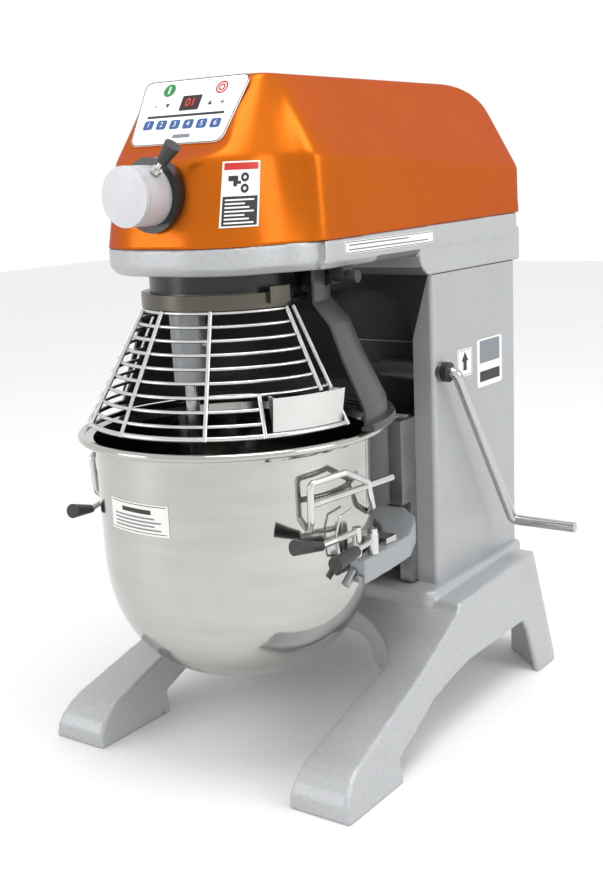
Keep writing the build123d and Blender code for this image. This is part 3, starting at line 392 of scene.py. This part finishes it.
label = cover_patch("warning_plate", 0, 1, 0, 1, 0.7, "white")
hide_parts("warning_label")
cover_patch("warning_head", .05, .95, .87, .975, 0.85, "red")
cover_patch("warning_block", .05, .95, .025, .47, 0.85, "ink")
for i in range(7):
    cover_patch(f"warning_bar_{i}", .11, .86 - .12 * (i % 3), .055 + .058 * i, .080 + .058 * i, 1.0,
                "white")
cover_ring("warning_roll_top", .60, .755, 1.8, 4.6, "ink")
cover_ring("warning_roll_low", .60, .585, 1.8, 4.6, "ink")
cover_patch("warning_hand", .17, .42, .70, .78, 0.85, "ink")
cover_patch("warning_fingers", .40, .50, .655, .70, 0.85, "ink")
cover_patch("warning_wrist", .30, .40, .62, .71, 0.85, "ink")

soften("base_casting", 0.0025, 6, "grey")
head_soft = soften("head_casting", 0.0022, 3, "grey")
soften("bowl_yoke", 0.0016, 4, "yoke", "carriage")


# ---------------------------------------------------------------- control panel graphics
mm = 0.001
PANEL = (Vector((0, -0.2315, 0.753)), Vector((1, 0, 0)), Vector((0, 0.5626, 0.8266)),
         Vector((0, -0.8266, 0.5626)))
TOPF = 1.75 * mm


def trapezoid(bottom, top, low, high, r, n=6):
    """Rounded trapezoid outline."""
    cs = [(bottom, low), (top, high), (-top, high), (-bottom, low)]
    pts = []
    for i in range(4):
        p, a, b = Vector(cs[i]), Vector(cs[i - 1]), Vector(cs[(i + 1) % 4])
        u, w = (a - p).normalized(), (b - p).normalized()
        for j in range(n + 1):
            t = j / n
            q = p + u * r * (1 - t) ** 2 + w * r * t ** 2
            pts.append((q.x, q.y))
    return pts


def ring(name, outer, inner, frame3, lift, thick, mat, body="frame"):
    """Plate between two outlines that have the same number of points."""
    o, x, y, z = frame3
    k = len(outer)
    v = []
    for pts, h in ((outer, lift), (inner, lift), (outer, lift + thick), (inner, lift + thick)):
        v += [o + x * a + y * b + z * h for a, b in pts]
    f = []
    for i in range(k):
        j = (i + 1) % k
        f += [(2 * k + i, 2 * k + j, 3 * k + j, 3 * k + i), (i, j, 2 * k + j, 2 * k + i),
              (k + j, k + i, 3 * k + i, 3 * k + j), (j, i, k + i, k + j)]
    ob = put(name, v, f, mat, body)
    return ob


ring("panel_border", trapezoid(.0637, .0737, -.0407, .0432, .0108),
     trapezoid(.0628, .0728, -.0398, .0423, .0104),
     PANEL, TOPF, 0.12 * mm, "ink")
decal("start_key", disc(8.2 * mm, -34.7 * mm, 30 * mm), PANEL, TOPF, 0.35 * mm, "green")
decal("start_mark", rounded(2.2 * mm, 9.5 * mm, .4 * mm, -34.7 * mm, 30 * mm), PANEL, TOPF + .35 * mm,
      .1 * mm, "white")
for name, r in (("stop_ring", 7.9), ("stop_eye", 4.4)):
    ring(name, disc(r * mm, 39.5 * mm, 28.5 * mm), disc((r - 1.8) * mm, 39.5 * mm, 28.5 * mm), PANEL,
         TOPF, 0.3 * mm, "red")
decal("display_window", rounded(27 * mm, 19 * mm, 1.2 * mm, 2.4 * mm, 11.5 * mm), PANEL, TOPF, .3 * mm,
      "glass")
glyph("display_digits", "01", 15 * mm, PANEL, 2.4 * mm, 11.5 * mm, TOPF + .42 * mm, "digit")
for i, (text, x, y) in enumerate((("-", -46, 10.2), ("+", 47.5, 8.6))):
    decal(f"set_key_{i}", rounded(12 * mm, 11 * mm, 2.4 * mm, x * mm, y * mm), PANEL, TOPF, .3 * mm,
          "key_light")
    glyph(f"set_sign_{i}", text, 11 * mm, PANEL, x * mm, y * mm, TOPF + .42 * mm, "ink")
for i, (x, y, s) in enumerate(((-29.5, 10, -1), (30.5, 8.8, 1))):
    decal(f"speed_key_{i}", rounded(12 * mm, 11 * mm, 2.4 * mm, x * mm, y * mm), PANEL, TOPF, .3 * mm,
          "key_light")
    decal(f"speed_arrow_{i}",
          [(x * mm - 3 * mm, y * mm - s * 2 * mm), (x * mm + 3 * mm, y * mm - s * 2 * mm),
           (x * mm, y * mm + s * 3.4 * mm)][::s],
          PANEL, TOPF + .3 * mm, .12 * mm, "ink")
decal("panel_bar", rounded(108 * mm, 3 * mm, 1 * mm, 1 * mm, -4.3 * mm), PANEL, TOPF, .2 * mm, "ink")
for i in range(6):
    x, y = (-47 + 19 * i) * mm, (-14.6 - .5 * i) * mm
    decal(f"number_key_{i + 1}", rounded(13.5 * mm, 11.5 * mm, 2.6 * mm, x, y), PANEL, TOPF, .3 * mm,
          "blue")
    glyph(f"number_sign_{i + 1}", str(i + 1), 9 * mm, PANEL, x, y, TOPF + .42 * mm, "white")
decal("panel_foot", rounded(24 * mm, 4.5 * mm, .6 * mm, 6 * mm, -31 * mm), PANEL, TOPF, .15 * mm,
      "grey_ink")

# ---------------------------------------------------------------- column and head labels
SIDE = (Vector((0.1456, AY, 0)), Vector((0, 1, 0)), Vector((0, 0, 1)), Vector((1, 0, 0)))


def arrow(cx, cy, w, h, up=1):
    return [(cx - w / 2, cy), (cx - w / 4, cy), (cx - w / 4, cy - up * h / 2),
            (cx + w / 4, cy - up * h / 2),
            (cx + w / 4, cy), (cx + w / 2, cy), (cx, cy + up * h / 2)][::up]


decal("lift_arrow", arrow(.304, .437, .018, .024), SIDE, 0.05 * mm, .25 * mm, "ink")
decal("lift_picture", rounded(.058, .030, .002, .375, .442), SIDE, 0.05 * mm, .2 * mm, "grey_ink")
decal("lift_picture_bar", rounded(.058, .014, .001, .375, .409), SIDE, 0.05 * mm, .2 * mm, "ink")
SIDE2 = (Vector((0.1476, AY, 0)), Vector((0, 1, 0)), Vector((0, 0, 1)), Vector((1, 0, 0)))
ring("side_strip_edge", rounded(.196, .0125, .002, .125, .602), rounded(.1945, .011, .0015, .125, .602),
     SIDE2, 0.02 * mm, .12 * mm, "ink")
for i, (w, z) in enumerate(((.130, .6045), (.176, .5995))):
    decal(f"side_strip_bar_{i}", rounded(w, .0016, .0006, .034 + w / 2, z), SIDE2, 0.02 * mm, .12 * mm,
          "grey_ink")
ring("lift_edge_1", rounded(.037, .033, .002, .304, .435), rounded(.0358, .0318, .0016, .304, .435), SIDE,
     0.02 * mm, .1 * mm, "ink")


def cyl_patch(name, r, a0, a1, z0, z1, mat, body):
    """Curved plate about the bowl axis; angles in degrees."""
    v, f, k = [], [], 10
    for z in (z0, z1):
        for i in range(k + 1):
            a = math.radians(a0 + (a1 - a0) * i / k)
            v.append(Vector((r * math.cos(a), AY + r * math.sin(a), z)))
    for i in range(k):
        f.append((i, i + 1, k + 2 + i, k + 1 + i))
    return put(name, v, f, mat, body)


for i, (a0, a1, z0, z1) in enumerate(((-110, -80, .3395, .3403), (-110, -80, .3090, .3098))):
    cyl_patch(f"bowl_label_rule_{i}", .16225, a0, a1, z0, z1, "ink", "carriage")
cyl_patch("bowl_label_head", .16225, -103, -87, .3305, .3355, "ink", "carriage")
for i in range(4):
    cyl_patch(f"bowl_label_bar_{i}", .16225, -108, -82.5 - 3 * (i % 2), .3125 + .0042 * i,
              .3143 + .0042 * i, "grey_ink", "carriage")


# ---------------------------------------------------------------- second materials on CAD pieces
def paint_where(piece, mat, test):
    """Gives the faces of a piece that pass a test another material."""
    me = piece.data
    me.materials.append(M[mat])
    for p in me.polygons:
        if test(p.center, p.normal):
            p.material_index = len(me.materials) - 1


for node in ("clamp_right", "clamp_left"):
    paint_where(nodes[node], "black", lambda c, n: c.y < AY - 0.0745)
paint_where(nodes["latch_lever"], "black", lambda c, n: c.y < AY - 0.0335 and c.z > 0.266)
paint_where(nodes["thumb_screw"], "black", lambda c, n: (c.x + c.z - 0.6677) / math.sqrt(2) > 0.0465)
paint_where(nodes["lift_lever"], "black", lambda c, n: c.x < 0.1585 and abs(c.y - AY - 0.240) < 0.013)


# painted shade: the column's recess faces above 455 mm get the near-black grey of the shade there
paint_where(nodes["column_casting"], "recess",
            lambda c, n: (c.z > 0.455 and c.y < AY + 0.33 and abs(c.x) < 0.137
                          and (n.y < -0.3 or abs(n.x) > 0.6)))
# painted shade: the downward faces of the head casting behind the front get a darker grey
paint_where(head_soft, "under", lambda c, n: n.z < -0.6 and c.y > AY + 0.10)


# ---------------------------------------------------------------- painted shade: dark sheets in the recess
def boxed(name, x0, x1, d0, d1, z0, z1, mat, body="frame"):
    v = [Vector((x * mm, AY + d * mm, z * mm)) for z in (z0, z1)
         for x, d in ((x0, d0), (x1, d0), (x1, d1), (x0, d1))]
    f = [(3, 2, 1, 0), (4, 5, 6, 7), (0, 1, 5, 4), (1, 2, 6, 5), (2, 3, 7, 6), (3, 0, 4, 7)]
    return put(name, v, f, mat, body)


boxed("recess_back_painted_shade", -134.5, 134.5, 298.6, 299.8, 170, 459, "ink")
for side in (1, -1):
    boxed(f"recess_side_painted_shade_{side + 1}", side * 133.4 - .4, side * 133.4 + .4, 244.6, 299, 170, 459,
          "ink")

# ---------------------------------------------------------------- floor, light, camera
scene = bpy.context.scene
bpy.ops.mesh.primitive_plane_add(size=14, location=(0, 0, 0))
floor = bpy.context.object
floor.name = "studio_floor"
floor.data.materials.append(shade("studio_white", (238, 238, 238), 0.6, 0, 60, 0.01, 3, 0.01))

world = bpy.data.worlds.new("studio")
scene.world = world
world.use_nodes = True
world.node_tree.nodes["Background"].inputs["Color"].default_value = (1, 1, 1, 1)
world.node_tree.nodes["Background"].inputs["Strength"].default_value = 1.0


def lamp(name, loc, target, size, power, tint=(1, 1, 1)):
    li = bpy.data.lights.new(name, "AREA")
    li.shape, li.size, li.energy, li.color = "DISK", size, power, tint
    ob = bpy.data.objects.new(name, li)
    ob.location = loc
    ob.rotation_mode = "QUATERNION"
    ob.rotation_quaternion = (Vector(target) - Vector(loc)).to_track_quat("-Z", "Y")
    scene.collection.objects.link(ob)
    return ob


lamp("key_top", (0.5, -0.4, 2.6), (0, 0, 0.4), 1.6, 28)
lamp("side_right", (2.4, 0.2, 1.3), (0, 0, 0.5), 1.4, 16)
lamp("fill_front_left", (-1.6, -2.2, 0.9), (0, -0.1, 0.4), 1.2, 10)


az, el, roll = math.radians(35.5), math.radians(12.2), math.radians(-2.5)
back = Vector((math.sin(az) * math.cos(el), -math.cos(az) * math.cos(el), math.sin(el)))
right = Vector((math.cos(az), math.sin(az), 0))
up = back.cross(right)
r2 = right * math.cos(roll) + up * math.sin(roll)
u2 = -right * math.sin(roll) + up * math.cos(roll)
cam = bpy.data.cameras.new("camera")
cam.lens = 1238.2 / 883 * 36
cam.sensor_width = 36
cam_ob = bpy.data.objects.new("camera", cam)
rot = Matrix((r2, u2, back)).transposed().to_4x4()
cam_ob.matrix_world = Matrix.Translation(Vector((0.8926, -1.2957, 0.6835))) @ rot
scene.collection.objects.link(cam_ob)
scene.camera = cam_ob
scene.view_settings.view_transform = "Standard"
